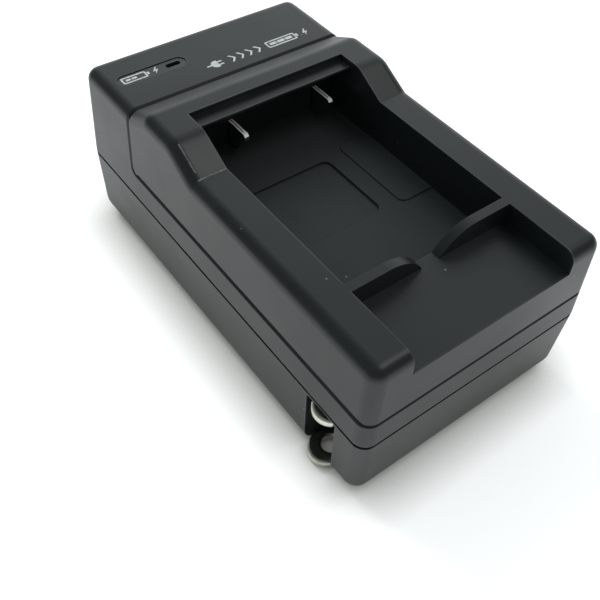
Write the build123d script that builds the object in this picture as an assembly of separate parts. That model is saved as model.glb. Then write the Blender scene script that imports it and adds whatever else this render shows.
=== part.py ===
from build123d import *
import math
import os

# Compact camera battery charger with an open battery bay on top and a mains plug
# that folds into the left side. Millimetres. The origin is the middle of the underside:
# +X is across the charger, +Y runs from the open front end to the head, +Z is up.

# Housing outline
case_width = 48.0
case_length = 84.0
corner_radius = 2.4
lower_height = 16.3
lower_draft = 1.4
upper_draft = 2.5
wall = 1.8
floor_thickness = 1.8
foot_round = 4.2
foot_steps = 6
edge_round = 2.2
shadow_gap = 0.7
shadow_depth = 0.8

# Upper case: a low band with a deck, and the taller head at the rear
band_height = 5.2
deck_thickness = 1.6
head_height = 18.1
head_length = 17.0
seam_round = 1.5
seam_gap = 0.15
seam_chamfer = 0.3
seam_groove = 0.8
seam_soft = 0.4

# Battery cradle, heights measured from the parting line
rim_height = 17.0
shoulder_height = 20.5
seam_height = 17.9
bay_floor_height = 8.3
shelf_height = 12.9
shoulder_back_run = 5.7
shoulder_flat = 8.3
shoulder_front_run = 6.5
shoulder_round = 5.0
shoulder_back_round = 3.0
shoulder_foot_round = 1.0
rim_width = 7.7
shelf_length = 14.5
rib_thickness = 1.7
rib_flat_half = 9.0
rib_gap_half = 1.8
strip_depth = 4.5
lip_overhang = 4.4
lip_thickness = 1.15
cradle_skin = 1.6
core_margin = 1.8
core_width = 3.5
peg_radius = 1.5
peg_x = 10.0
peg_stake = 0.6

# Marks moulded in the bay floor
sunk_panel_x = -3.2
sunk_panel_y = -2.7
sunk_panel_width = 17.5
sunk_panel_length = 15.6
sunk_panel_depth = 0.5
raised_pad_width = 7.0
raised_pad_length = 18.1
raised_pad_y = -2.25
raised_pad_height = 0.25
panel_round = 1.5

# Battery contacts and the holder that backs them
holder_wall = 1.7
holder_overhang = 2.7
holder_plate = 2.2
holder_edge = 0.4
holder_clearance = 0.05
contact_left_inset = 10.1
contact_right_inset = 3.6
contact_thickness = 0.9
contact_height = 5.0
contact_reach = 5.2
contact_tuck = 0.9
contact_nose = 0.4
contact_tip = 1.0
contact_slit = 0.2
contact_leg = 2.5
contact_clearance = 0.15

# Charge indicator
window_length = 13.8
window_width = 3.0
window_inset = 10.5
window_back = 8.8
window_sink = 0.15
window_flange = 0.8
window_flange_thickness = 0.8
window_clearance = 0.05
light_slot_length = 3.0
light_slot_width = 1.1
light_slot_inset = 2.6
led_radius = 1.5
led_height = 5.3
led_flange = 0.4
led_flange_height = 1.0
led_gap = 0.3
led_lead = 0.5
led_pitch = 2.54

# Folding mains plug
blade_width = 6.35
blade_thickness = 1.5
blade_spacing = 12.7
blade_proud = 0.9
blade_hole_radius = 1.6
blade_hole_setback = 4.2
blade_round = 0.35
blade_tab = 2.0
plug_setback = 9.8
pivot_height = 7.5
carrier_half_height = 7.3
carrier_round = 0.5
slot_width = 7.0
slot_clearance = 0.2
notch_lip = 1.0
pocket_wall = 1.5
pocket_headroom = 0.2
pin_radius = 1.5
pin_clearance = 0.05
pin_seat = 3.0
pin_stub = 0.8
cover_thickness = 1.4
keeper_width = 3.0
keeper_setback = 6.0
spring_thickness = 0.4
spring_width = 4.0
spring_gap = 0.1
spring_tail = 2.5
spring_half = 3.0
spring_bend = 0.6

# Circuit board, posts and screws
board_thickness = 1.6
board_height = 5.0
board_clearance = 0.4
post_radius = 2.1
post_peg_radius = 1.0
post_inset_x = 1.8
post_inset_y = 3.0
screw_inset_x = 6.5
screw_inset_y = 21.5
screw_radius = 1.2
screw_head_radius = 2.3
screw_head_height = 1.8
screw_length = 10.0
screw_sink = 2.2
screw_slot = 0.6
boss_radius = 3.2
boss_height = 9.0
pillar_radius = 2.8
fit_clearance = 0.05

# Parts on the board
core_length = 16.0
core_height = 12.4
core_depth = 5.0
core_limb = 2.6
core_window = 2.9
winding_depth = 13.0
winding_gap = 0.1
winding_round = 1.5
transformer_shift = -0.6
can_round = 0.4
input_can_radius = 4.0
input_can_length = 12.0
input_can_inset = 7.4
input_can_setback = 16.2
output_can_radius = 3.15
output_can_height = 9.0
output_can_x = 9.0
output_can_setback = 6.5
safety_cap_width = 8.0
safety_cap_height = 9.0
safety_cap_depth = 4.0
safety_cap_inset = 2.7
safety_cap_setback = 7.0
axial_lead = 0.35
axial_rise = 1.6
axial_bend = 0.8
fuse_radius = 1.5
fuse_length = 7.0
fuse_inset = 2.3
fuse_setback = 13.2
diode_radius = 1.35
diode_length = 5.0
diode_pitch = 3.0
diode_count = 4
diode_inset = 3.5
diode_setback = 7.7
chip_width = 6.4
chip_length = 9.4
chip_height = 3.3
chip_standoff = 0.5
chip_pins = 4
chip_pin_pitch = 2.54
chip_pin_width = 0.5
chip_pin_thickness = 0.3
chip_x = 1.5
chip_setback = 15.5
socket_width = 9.0
socket_height = 9.0
socket_length = 11.5
socket_x = 7.0
socket_nose_radius = 3.0
socket_nose_short = 0.2
socket_bore_radius = 1.8
socket_bore_depth = 9.0
socket_pin_radius = 0.65

# Levels and lines that several pieces share
parting = lower_height
seam = parting + band_height
deck_underside = seam - deck_thickness
head_top = parting + head_height
rim_top = parting + rim_height
shoulder_top = parting + shoulder_height
bay_floor = parting + bay_floor_height
shelf_top = parting + shelf_height
front_face = -case_length / 2
rear_face = case_length / 2
left_face = -case_width / 2
head_front = rear_face - head_length
rib_front = front_face + shelf_length
rib_back = rib_front + rib_thickness
bay_half = case_width / 2 - rim_width
contact_left_x = contact_left_inset - bay_half
contact_right_x = bay_half - contact_right_inset
pocket_back = head_front - strip_depth
holder_front = pocket_back - holder_wall
lip_edge = pocket_back - lip_overhang
lip_underside = shoulder_top - lip_thickness
peg_back_y = pocket_back + (strip_depth - seam_gap) / 2
peg_front_y = (rib_front + rib_back + core_margin) / 2
plug_y = front_face + plug_setback
pivot_reach = pivot_height
carrier_width = slot_width - 2 * slot_clearance
slot_end = carrier_half_height + 3 * slot_clearance
pocket_half = slot_width / 2 + pocket_wall
pocket_top = pivot_height + carrier_half_height + pocket_headroom
bearing_radius = pin_radius + pin_clearance
board_top = board_height + board_thickness
board_front = plug_y + pocket_half + 2 * pocket_wall
board_back = rear_face - wall - 2 * board_clearance
screw_x = case_width / 2 - screw_inset_x
screw_y = case_length / 2 - screw_inset_y
board_half = screw_x - boss_radius - board_clearance
transformer_y = (board_front + board_back) / 2 + transformer_shift
post_x = board_half - post_inset_x
post_front_y = board_front + post_inset_y
post_back_y = board_back - post_inset_y
window_x = left_face + window_inset
light_x = window_x + window_length / 2 - light_slot_inset
window_y = rear_face - window_back
window_underside = head_top - wall - window_flange_thickness
socket_z = board_top + socket_height / 2
contact_top = bay_floor + contact_height
contact_tail = holder_front + contact_tuck - contact_clearance
contact_leg_front = contact_tail - contact_leg
foot_inset = (lower_height - foot_round) * math.tan(math.radians(lower_draft))
far = case_length


def block(x, y, z):
    """Box between the two limits given on each axis."""
    size = [high - low for low, high in (x, y, z)]
    middle = [(low + high) / 2 for low, high in (x, y, z)]
    return Pos(*middle) * Box(*size)


def rod(radius, base, height, x=0.0, y=0.0):
    """Upright cylinder that starts at the level base."""
    return Pos(x, y, base + height / 2) * Cylinder(radius, height)


def along_y(radius, low, high, x, z):
    """Cylinder along Y between two places."""
    return Pos(x, (low + high) / 2, z) * Rot(X=90) * Cylinder(radius, high - low)


def side_prism(points, radii):
    """Prism across the whole width from an outline of (y, z) points with rounded corners."""
    face = make_face(FilletPolyline(*points, radius=radii, close=True))
    return extrude(Plane.YZ * face, amount=case_width, both=True)


def outline_block(inset, base, height, draft):
    """Housing outline, drawn in by inset, extruded up (or down) with draft, corners rounded."""
    outline = Rectangle(case_width - 2 * inset, case_length - 2 * inset)
    direction = (0, 0, 1 if height > 0 else -1)
    body = extrude(Pos(0, 0, base) * outline, amount=abs(height), dir=direction, taper=draft)
    return fillet(body.edges().group_by(Axis.Z)[1], corner_radius - inset)


def flat_prism(points, half):
    """Prism from an outline of (y, z) points, reaching half to each side."""
    return extrude(Plane.YZ * make_face(Polyline(*points, close=True)), amount=half, both=True)


def mirrored_places(x, front_y, back_y):
    """Four places, left and right at two lengths."""
    return [(side * x, y) for side in (-1, 1) for y in (front_y, back_y)]


screw_places = mirrored_places(screw_x, -screw_y, screw_y)
post_places = mirrored_places(post_x, post_front_y, post_back_y)
peg_places = mirrored_places(peg_x, peg_front_y, peg_back_y)
contact_places = {"contact_positive": contact_left_x, "contact_negative": contact_right_x}


def make_plug_pocket():
    """Walls of the plug's pocket, with U slots that carry the pivot pins from below."""
    walls = block(
        (left_face + wall / 2, slot_end + pocket_wall),
        (plug_y - pocket_half, plug_y + pocket_half),
        (floor_thickness / 2, pocket_top))
    bearing = along_y(bearing_radius, plug_y - far, plug_y + far, 0, pivot_height)
    throat = block(
        (-bearing_radius, bearing_radius),
        (plug_y - pocket_half, plug_y + pocket_half),
        (pivot_height, pocket_top))
    return walls - bearing - throat


def lower_section(inset, z):
    """Rounded outline of the lower shell at the level z, drawn in by inset."""
    return Pos(0, 0, z) * RectangleRounded(
        case_width - 2 * inset, case_length - 2 * inset, corner_radius)


def make_lower_outside():
    """Outer form of the lower shell: drafted walls on a round foot."""
    foot = []
    for step in range(foot_steps + 1):
        angle = math.radians(90 * step / foot_steps)
        inset = foot_inset + foot_round * (1 - math.cos(angle))
        foot.append(lower_section(inset, foot_round * (1 - math.sin(angle))))
    walls = loft([lower_section(0, parting), foot[0]], ruled=True)
    return walls + loft(foot)


def make_lower_case():
    """Lower shell: floor, drafted walls, plug pocket, screw bosses and board posts."""
    outside = make_lower_outside()
    shell = outside - outline_block(wall, parting, floor_thickness - lower_height, lower_draft)
    rebate = RectangleRounded(case_width + wall, case_length + wall, corner_radius)
    rebate -= RectangleRounded(
        case_width - 2 * shadow_depth, case_length - 2 * shadow_depth,
        corner_radius - shadow_depth)
    shell -= extrude(Pos(0, 0, parting - shadow_gap) * rebate, amount=shadow_gap)
    shell += make_plug_pocket() & outside
    slot_y = (plug_y - slot_width / 2, plug_y + slot_width / 2)
    shell -= block((-far, slot_end), slot_y, (-far, parting - notch_lip))
    shell -= block((left_face + wall, slot_end), slot_y, (0, pocket_top))
    for x, y in screw_places:
        shell += rod(boss_radius, floor_thickness / 2, boss_height - floor_thickness / 2, x, y)
        shell -= rod(screw_head_radius + 2 * fit_clearance, 0, screw_sink + screw_head_height, x, y)
        shell -= rod(screw_radius + fit_clearance, 0, boss_height, x, y)
    for x, y in post_places:
        shell += rod(post_radius, floor_thickness / 2, board_height - floor_thickness / 2, x, y)
        shell += rod(post_peg_radius, board_height, board_thickness, x, y)
    nose = along_y(socket_nose_radius + fit_clearance, board_back, far, socket_x, socket_z)
    return shell - nose


def contact_slot(x, low, high):
    """Clearance slot for the leg of one contact."""
    half = contact_thickness / 2 + contact_clearance
    return block(
        (x - half, x + half),
        (contact_leg_front - contact_clearance, holder_front + contact_tuck),
        (low, high))


def soften_seam(body, y):
    """Take the corner off the edges round a face that stands across the seam at y."""
    around = [edge for edge in body.edges().filter_by_position(Axis.Y, y - seam_gap / 2, y + seam_gap / 2)
              if edge.center().Z > seam + seam_round]
    return chamfer(around, seam_soft)


def make_upper_case():
    """Band, deck and head in one moulding, open below, with pillars for the screws."""
    radii = [0, 0, 0, 0, seam_round, 0]
    outside = [
        (-far, parting), (far, parting), (far, head_top),
        (head_front, head_top), (head_front, seam), (-far, seam)]
    inside = [
        (-far, parting), (far, parting), (far, head_top - wall),
        (head_front + wall, head_top - wall), (head_front + wall, deck_underside),
        (-far, deck_underside)]
    body = outline_block(0, parting, head_height, upper_draft) & side_prism(outside, radii)
    top_edges = body.faces().sort_by(Axis.Z)[-1].edges()
    body = fillet([edge for edge in top_edges if edge.center().Y > head_front + wall], edge_round)
    body = soften_seam(body, head_front)
    body -= outline_block(wall, parting, head_height, upper_draft) & side_prism(inside, 0)
    for x, y in screw_places:
        body += rod(pillar_radius, boss_height, deck_underside + deck_thickness / 2 - boss_height, x, y)
        body -= rod(screw_radius + fit_clearance, boss_height, screw_length, x, y)
    for x, y in peg_places:
        body -= rod(peg_radius + fit_clearance, deck_underside, deck_thickness, x, y)
    for x in contact_places.values():
        body -= contact_slot(x, deck_underside, seam)
    body += block(
        (-keeper_setback - keeper_width, -keeper_setback),
        (plug_y - keeper_width, plug_y + keeper_width),
        (pocket_top + cover_thickness, deck_underside))
    window = SlotOverall(window_length, window_width)
    return body - extrude(Pos(window_x, window_y, head_top - wall) * window, amount=wall)


def make_cradle_blank():
    """Outer form of the cradle: drafted sides, low rims, raised shoulder, rounded upper edges."""
    back = head_front - seam_gap
    flat_back = head_front - shoulder_back_run
    flat_front = flat_back - shoulder_flat
    foot = flat_front - shoulder_front_run
    points = [
        (-far, seam), (back, seam), (back, parting + seam_height),
        (flat_back, shoulder_top), (flat_front, shoulder_top),
        (foot, rim_top), (-far, rim_top)]
    radii = [0, seam_round, 0, shoulder_back_round, shoulder_round, shoulder_foot_round, 0]
    blank = outline_block(0, parting, shoulder_height + wall, upper_draft)
    blank &= side_prism(points, radii)
    upper = [face for face in blank.faces() if face.normal_at().Z > 0.3]
    edges = ShapeList([edge for face in upper for edge in face.edges()])
    rounded = []
    for edge in edges:
        shared = [other for other in edges if other.center() == edge.center()]
        if len(shared) == 1 and edge.center().Y < back - seam_gap:
            rounded.append(edge)
    blank = soften_seam(fillet(rounded, edge_round), back)
    lower_edges = blank.faces().sort_by(Axis.Z)[0].edges()
    outer = [edge for edge in lower_edges if edge.center().Y < back - wall]
    blank = chamfer(outer, seam_chamfer)
    side = case_width / 2 - band_height * math.tan(math.radians(upper_draft))
    groove = [(side - seam_groove, seam), (side + seam_groove, seam + 2 * seam_groove), (far, seam)]
    cut = extrude(Plane.XZ * make_face(Polyline(*groove, close=True)), amount=far)
    cut = Pos(0, back - wall, 0) * cut
    return blank - cut - mirror(cut, Plane.YZ)


def make_rib_dip():
    """Cut over the stop rib: a round fall from each flat side to the finger shelf."""
    top = [(side * rib_flat_half, rim_top) for side in (-1, 1)]
    low = [(side * rib_gap_half, shelf_top) for side in (-1, 1)]
    lines = [
        TangentArc(top[0], low[0], tangent=(1, 0)),
        Line(low[0], low[1]),
        TangentArc(top[1], low[1], tangent=(-1, 0)),
        Polyline(top[1], (rib_flat_half, far), (-rib_flat_half, far), top[0])]
    face = make_face(lines)
    return Pos(0, rib_back, 0) * extrude(Plane.XZ * face, amount=rib_thickness)


def make_battery_cradle():
    """Battery bay with its stop rib, finger shelf, contact slots, floor marks and hollow rims."""
    cradle = make_cradle_blank()
    half = bay_half
    cradle -= block((-half, half), (rib_back, pocket_back), (bay_floor, lip_underside))
    cradle -= block((-half, half), (rib_back, lip_edge), (bay_floor, far))
    cradle -= block((-half, half), (-far, rib_front), (shelf_top, far))
    cradle -= block((-half, half), (rib_front, rib_back), (rim_top, far))
    cradle -= make_rib_dip()
    panel = Pos(sunk_panel_x, sunk_panel_y, bay_floor - sunk_panel_depth) * RectangleRounded(
        sunk_panel_width, sunk_panel_length, panel_round)
    cradle -= extrude(panel, amount=sunk_panel_depth)
    pad = RectangleRounded(2 * raised_pad_width, raised_pad_length, panel_round)
    pad = extrude(Pos(half, raised_pad_y, bay_floor) * pad, amount=raised_pad_height)
    cradle += pad & block((-half, half), (-far, far), (bay_floor, far))
    core_half = half - core_margin
    cradle -= block(
        (-core_half, core_half), (rib_back + core_margin, pocket_back), (seam, bay_floor - cradle_skin))
    cradle -= block(
        (-core_half, core_half), (front_face + 2 * core_margin, rib_front),
        (seam, shelf_top - cradle_skin))
    for side in (-1, 1):
        inner = side * (half + core_margin)
        limits = sorted((inner, inner + side * core_width))
        cradle -= block(
            limits, (front_face + 3 * core_margin, pocket_back), (seam, rim_top - core_margin))
    for x in contact_places.values():
        cradle -= contact_slot(x, seam, bay_floor)
    for x, y in peg_places:
        cradle += rod(peg_radius, deck_underside - peg_stake, deck_thickness + peg_stake, x, y)
    return cradle


def make_contact_holder():
    """Insert at the bay's far end: a wall that backs the contacts, and the lip over the battery."""
    half = bay_half - holder_clearance
    back = pocket_back - holder_clearance
    top = lip_underside - holder_clearance
    front = lip_edge - holder_overhang
    holder = flat_prism(
        [(back, bay_floor), (back, top), (front, top), (front, top - holder_edge),
         (holder_front, top - holder_plate), (holder_front, bay_floor)], half)
    for x in contact_places.values():
        holder -= contact_slot(x, bay_floor, contact_top + contact_clearance)
    return holder


def make_contact(x):
    """Folded contact strip: a beak in the bay with a slit along its top, and a leg to the board."""
    nose = holder_front - contact_reach
    points = [
        (contact_tail, board_top), (contact_tail, contact_top), (nose + contact_nose, contact_top),
        (nose, contact_top - contact_nose), (nose, contact_top - contact_tip),
        (contact_leg_front, bay_floor), (contact_leg_front, board_top)]
    strip = flat_prism(points, contact_thickness / 2)
    strip -= block(
        (-contact_slit / 2, contact_slit / 2), (nose + contact_tip, contact_tail),
        (contact_top - contact_tip, contact_top))
    return Pos(x, 0, 0) * strip


def make_indicator_window():
    """Long rounded insert in the head, with a flange inside and a slot over the lamp."""
    stem = SlotOverall(window_length - 2 * window_clearance, window_width - 2 * window_clearance)
    flange = SlotOverall(window_length + 2 * window_flange, window_width + 2 * window_flange)
    slot = SlotOverall(light_slot_length, light_slot_width)
    window = extrude(Pos(0, 0, head_top - wall) * stem, amount=wall - window_sink)
    window += extrude(Pos(0, 0, window_underside) * flange, amount=window_flange_thickness)
    window = Pos(window_x, window_y, 0) * window
    return window - extrude(Pos(light_x, window_y, window_underside) * slot, amount=far)


def make_indicator_led():
    """Domed lamp on two long leads."""
    base = window_underside - led_gap - led_height
    lamp = rod(led_radius, base, led_height)
    lamp = fillet(lamp.edges().sort_by(Axis.Z)[-1], led_radius - led_gap)
    lamp += rod(led_radius + led_flange, base, led_flange_height)
    for side in (-1, 1):
        x = side * led_pitch / 2
        lamp += block(
            (x - led_lead / 2, x + led_lead / 2), (-led_lead / 2, led_lead / 2),
            (board_top, base + led_flange_height / 2))
    return Pos(light_x, window_y, 0) * lamp


def make_blade(side):
    """Flat plug blade with a round end and a hole, and a tab that meets its pivot pin."""
    level = pivot_height + side * blade_spacing / 2
    tip = left_face - blade_proud
    middle = tip + blade_width / 2
    end = blade_tab / 2
    outline = Pos(middle, 0) * Circle(blade_width / 2)
    outline += Pos((middle + end) / 2, 0) * Rectangle(end - middle, blade_width)
    outline -= Pos(tip + blade_hole_setback, 0) * Circle(blade_hole_radius)
    blade = extrude(Pos(0, plug_y, level) * outline, amount=blade_thickness / 2, both=True)
    rims = blade.edges().group_by(Axis.Z)
    blade = fillet(rims[0] + rims[-1], blade_round)
    tab_y = plug_y - side * (carrier_width - pin_seat) / 2
    tab = block(
        (-blade_tab / 2, blade_tab / 2), (tab_y - blade_tab / 2, tab_y + blade_tab / 2),
        sorted((pivot_height, level)))
    return blade + (tab - make_pin(side))


def make_pin(side):
    """Metal pivot pin, seated in one side of the carrier and turning in the pocket wall."""
    inner = plug_y - side * (carrier_width / 2 - pin_seat)
    outer = plug_y - side * (pocket_half + pin_stub)
    return along_y(pin_radius, min(inner, outer), max(inner, outer), 0, pivot_height)


def make_plug_carrier(inserts):
    """Moulded carrier: square to the blades, round behind so that it turns in its pocket."""
    outline = Circle(carrier_half_height)
    outline += Pos(-pivot_reach / 2, 0) * Rectangle(pivot_reach, 2 * carrier_half_height)
    body = extrude(Plane.XZ * outline, amount=carrier_width / 2, both=True)
    corners = body.edges().filter_by(Axis.Y).group_by(Axis.X)[0]
    carrier = Pos(0, plug_y, pivot_height) * fillet(corners, carrier_round)
    for insert in inserts:
        carrier -= insert
    return carrier


def make_plug_cover():
    """Lid of the plug pocket, with tongues that close the U slots over the pivot pins."""
    cover = block(
        (left_face + wall + 2 * fit_clearance, slot_end + pocket_wall),
        (plug_y - pocket_half, plug_y + pocket_half),
        (pocket_top, pocket_top + cover_thickness))
    half = bearing_radius - fit_clearance
    for side in (-1, 1):
        limits = sorted((plug_y + side * slot_width / 2, plug_y + side * pocket_half))
        cover += block((-half, half), limits, (pivot_height, pocket_top))
    return cover - along_y(bearing_radius, plug_y - far, plug_y + far, 0, pivot_height)


def make_supply_spring(side, turn_x):
    """Bent leaf that presses on the end of one pivot pin and runs to the board."""
    face_y = plug_y - side * (pocket_half + pin_stub + spring_gap + spring_thickness / 2)
    path = FilletPolyline(
        (-spring_half, face_y), (turn_x, face_y), (turn_x, board_front + spring_tail),
        radius=spring_bend)
    leaf = trace(path, spring_thickness)
    return extrude(Pos(0, 0, board_top) * leaf, amount=spring_width)


def make_circuit_board():
    """Plain board located by the pegs of the four posts."""
    board = block((-board_half, board_half), (board_front, board_back), (board_height, board_top))
    for x, y in post_places:
        board -= rod(post_peg_radius + fit_clearance, board_height, board_thickness, x, y)
    return board


def make_transformer_core():
    """Two joined E cores: outer limbs, centre limb and two winding windows."""
    base = board_top
    core = block(
        (-core_length / 2, core_length / 2), (-core_depth / 2, core_depth / 2),
        (base, base + core_height))
    for side in (-1, 1):
        outer = side * (core_length / 2 - core_limb)
        window = sorted((outer, outer - side * core_window))
        core -= block(window, (-far, far), (base + core_limb, base + core_height - core_limb))
    return Pos(0, transformer_y, 0) * core


def make_transformer_winding():
    """Taped winding on its bobbin, round the centre limb."""
    half = core_length / 2 - core_limb - winding_gap
    hole = core_length / 2 - core_limb - core_window + winding_gap
    depth = core_depth / 2 + winding_gap
    low = board_top + core_limb + winding_gap
    high = board_top + core_height - core_limb - winding_gap
    winding = block((-half, half), (-winding_depth / 2, winding_depth / 2), (low, high))
    winding = fillet(winding.edges().filter_by(Axis.Z), winding_round)
    winding -= block((-hole, hole), (-depth, depth), (low, high))
    return Pos(0, transformer_y, 0) * winding


def bent_lead(*points):
    """Round wire bent through (y, z) points."""
    path = Plane.YZ * FilletPolyline(*points, radius=axial_bend)
    start = Plane(origin=path @ 0, z_dir=path % 0)
    return sweep(start * Circle(axial_lead), path=path)


def make_can(radius, length):
    """Upright electrolytic capacitor with a rolled groove near its base."""
    can = Cylinder(radius, length, align=(Align.CENTER, Align.CENTER, Align.MIN))
    can = fillet(can.edges().filter_by(GeomType.CIRCLE), can_round)
    return can - Pos(0, 0, radius / 2) * Torus(radius + can_round / 2, can_round)


def make_input_capacitor():
    """Large capacitor laid on the board, its leads bent down."""
    can = Pos(input_can_length / 2, 0, 0) * Rot(Y=-90) * make_can(input_can_radius, input_can_length)
    level = board_top + input_can_radius
    can = Pos(0, 0, level) * can
    reach = input_can_length / 2
    for side in (-1, 1):
        lead = bent_lead((0, level), (reach + axial_rise, level), (reach + axial_rise, board_top))
        can += Pos(0, side * input_can_radius / 2, 0) * Rot(Z=-90) * lead
    return Pos(input_can_inset - board_half, board_front + input_can_setback, 0) * can


def make_output_capacitor():
    """Small capacitor standing on the board."""
    can = make_can(output_can_radius, output_can_height)
    return Pos(output_can_x, transformer_y + output_can_setback, board_top) * can


def make_safety_capacitor():
    """Dipped disc capacitor standing on two leads."""
    disc = RectangleRounded(safety_cap_width, safety_cap_height - axial_rise, safety_cap_depth / 2)
    body = extrude(Plane.YZ * disc, amount=safety_cap_depth / 2, both=True)
    rims = body.edges().group_by(Axis.X)
    body = fillet(rims[0] + rims[-1], safety_cap_depth / 4)
    body = Pos(0, 0, board_top + (safety_cap_height + axial_rise) / 2) * body
    for side in (-1, 1):
        y = side * safety_cap_width / 4
        body += rod(axial_lead, board_top, safety_cap_height / 2, 0, y)
    return Pos(safety_cap_inset - board_half, transformer_y + safety_cap_setback, 0) * body


def make_axial(radius, length):
    """Axial part lying along Y over the board, with both leads bent down."""
    level = board_top + radius + axial_lead
    reach = length / 2 + axial_rise
    body = along_y(radius, -length / 2, length / 2, 0, level)
    body = fillet(body.edges().filter_by(GeomType.CIRCLE), radius / 4)
    return body + bent_lead(
        (-reach, board_top), (-reach, level), (reach, level), (reach, board_top))


def make_control_chip():
    """Eight-leg chip with bent legs on two sides."""
    base = board_top + chip_standoff
    body = block(
        (-chip_width / 2, chip_width / 2), (-chip_length / 2, chip_length / 2),
        (base, base + chip_height))
    body = chamfer(body.edges().group_by(Axis.Z)[-1], chip_pin_thickness)
    shoulder = base + chip_height / 2
    for side in (-1, 1):
        tip = side * (chip_width / 2 + chip_pin_width)
        for index in range(chip_pins):
            y = (index - (chip_pins - 1) / 2) * chip_pin_pitch
            span = (y - chip_pin_width / 2, y + chip_pin_width / 2)
            leg = sorted((tip, tip - side * chip_pin_thickness))
            body += block(sorted((0, tip)), span, (shoulder - chip_pin_thickness, shoulder))
            body += block(leg, span, (board_top, shoulder))
    return Pos(chip_x, board_back - chip_setback, 0) * Rot(Z=90) * body


def make_dc_socket():
    """Low-voltage inlet: square body on the board, round nose in the rear wall, centre pin."""
    back = rear_face - wall - board_clearance
    nose_end = rear_face - 2 * socket_nose_short
    body = block(
        (socket_x - socket_width / 2, socket_x + socket_width / 2),
        (back - socket_length, back), (board_top, board_top + socket_height))
    body += along_y(socket_nose_radius, back - wall, nose_end, socket_x, socket_z)
    floor = nose_end - socket_bore_depth
    body -= along_y(socket_bore_radius, floor, nose_end, socket_x, socket_z)
    return body + along_y(
        socket_pin_radius, floor - wall, nose_end - socket_bore_radius, socket_x, socket_z)


def make_screw():
    """Self-tapping pan screw, head down, with a cross recess."""
    seat = screw_sink + screw_head_height
    screw = rod(screw_head_radius, screw_sink, screw_head_height)
    screw = fillet(screw.edges().group_by(Axis.Z)[0], screw_slot)
    screw += rod(screw_radius, seat, screw_length)
    reach = screw_head_radius - screw_slot
    for x, y in ((reach, screw_slot / 2), (screw_slot / 2, reach)):
        screw -= block((-x, x), (-y, y), (screw_sink, screw_sink + screw_head_height / 2))
    return screw


def make_case_screws():
    """The four screws that clamp the two halves of the case."""
    return Compound(children=[Pos(x, y, 0) * make_screw() for x, y in screw_places])


def make_fuse_resistor():
    """Fusible resistor in the mains feed."""
    place = Pos(board_half - fuse_inset, board_front + fuse_setback, 0)
    return place * make_axial(fuse_radius, fuse_length)


def make_rectifier_diodes():
    """Row of four rectifier diodes."""
    first = Pos(diode_inset - board_half, board_front + diode_setback, 0)
    diode = make_axial(diode_radius, diode_length)
    return Compound(children=[first * Pos(n * diode_pitch, 0, 0) * diode for n in range(diode_count)])


def make_parts():
    """Every piece by its node name, in place."""
    plug = {
        "plug_blade_upper": make_blade(1),
        "plug_blade_lower": make_blade(-1),
        "pivot_pin_front": make_pin(1),
        "pivot_pin_rear": make_pin(-1)}
    parts = {
        "lower_case": make_lower_case(),
        "upper_case": make_upper_case(),
        "battery_cradle": make_battery_cradle(),
        "contact_holder": make_contact_holder(),
        "indicator_window": make_indicator_window(),
        "indicator_led": make_indicator_led(),
        "plug_carrier": make_plug_carrier(plug.values()),
        "plug_cover": make_plug_cover(),
        "supply_spring_front": make_supply_spring(1, slot_end + 2 * pocket_wall),
        "supply_spring_rear": make_supply_spring(-1, spring_half),
        "circuit_board": make_circuit_board(),
        "transformer_core": make_transformer_core(),
        "transformer_winding": make_transformer_winding(),
        "input_capacitor": make_input_capacitor(),
        "output_capacitor": make_output_capacitor(),
        "safety_capacitor": make_safety_capacitor(),
        "fuse_resistor": make_fuse_resistor(),
        "rectifier_diodes": make_rectifier_diodes(),
        "control_chip": make_control_chip(),
        "dc_socket": make_dc_socket(),
        "case_screws": make_case_screws()}
    for name, x in contact_places.items():
        parts[name] = make_contact(x)
    return {**parts, **plug}


os.makedirs("parts", exist_ok=True)
for name, part in make_parts().items():
    export_step(part, f"parts/{name}.step")
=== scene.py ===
"""Dressed scene of a camera battery charger: its finishes, its printed marks and a plain studio."""
from math import radians

import bmesh
import bpy
from mathutils import Matrix, Vector


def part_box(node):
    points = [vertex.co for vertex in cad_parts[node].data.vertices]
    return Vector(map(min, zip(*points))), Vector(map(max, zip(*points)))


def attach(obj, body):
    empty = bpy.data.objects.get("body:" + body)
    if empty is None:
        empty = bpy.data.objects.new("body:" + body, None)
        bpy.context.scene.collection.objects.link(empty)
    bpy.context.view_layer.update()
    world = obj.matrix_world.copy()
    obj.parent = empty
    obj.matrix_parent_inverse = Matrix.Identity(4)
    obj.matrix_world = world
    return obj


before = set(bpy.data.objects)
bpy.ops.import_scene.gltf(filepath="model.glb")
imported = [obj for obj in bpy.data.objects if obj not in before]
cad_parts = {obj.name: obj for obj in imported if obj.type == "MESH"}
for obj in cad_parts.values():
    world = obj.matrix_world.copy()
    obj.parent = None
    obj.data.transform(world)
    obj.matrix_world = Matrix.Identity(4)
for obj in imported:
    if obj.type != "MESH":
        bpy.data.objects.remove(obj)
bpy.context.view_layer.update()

bl_info = {
    "name": "Battery charger dressing",
    "version": (1, 0, 0),
    "blender": (4, 5, 0),
    "location": "View3D > Sidebar > Charger",
    "description": "Finishes, printed marks and studio for a camera battery charger",
    "category": "Object",
}

MM = 0.001
WHITE = (1.0, 1.0, 1.0, 1.0)

# Most values of a noise texture lie between these two.
NOISE_LOW = 0.3
NOISE_HIGH = 0.7
# A wave texture counts this many radians along one unit of its coordinates.
WAVE_RADIANS = 20

# Zones of the case, each from its low corner to its high corner in millimetres.
BAY_FLOOR = ((-16.4, -26.0, 23.5), (16.4, 19.0, 25.0))
BAY_DEPTHS = ((-16.2, -30.0, 23.5), (16.2, 22.0, 33.6))
LOWER_SHELL_INSIDE = ((-22.9, -41.0, 2.0), (22.9, 41.0, 15.9))
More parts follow.
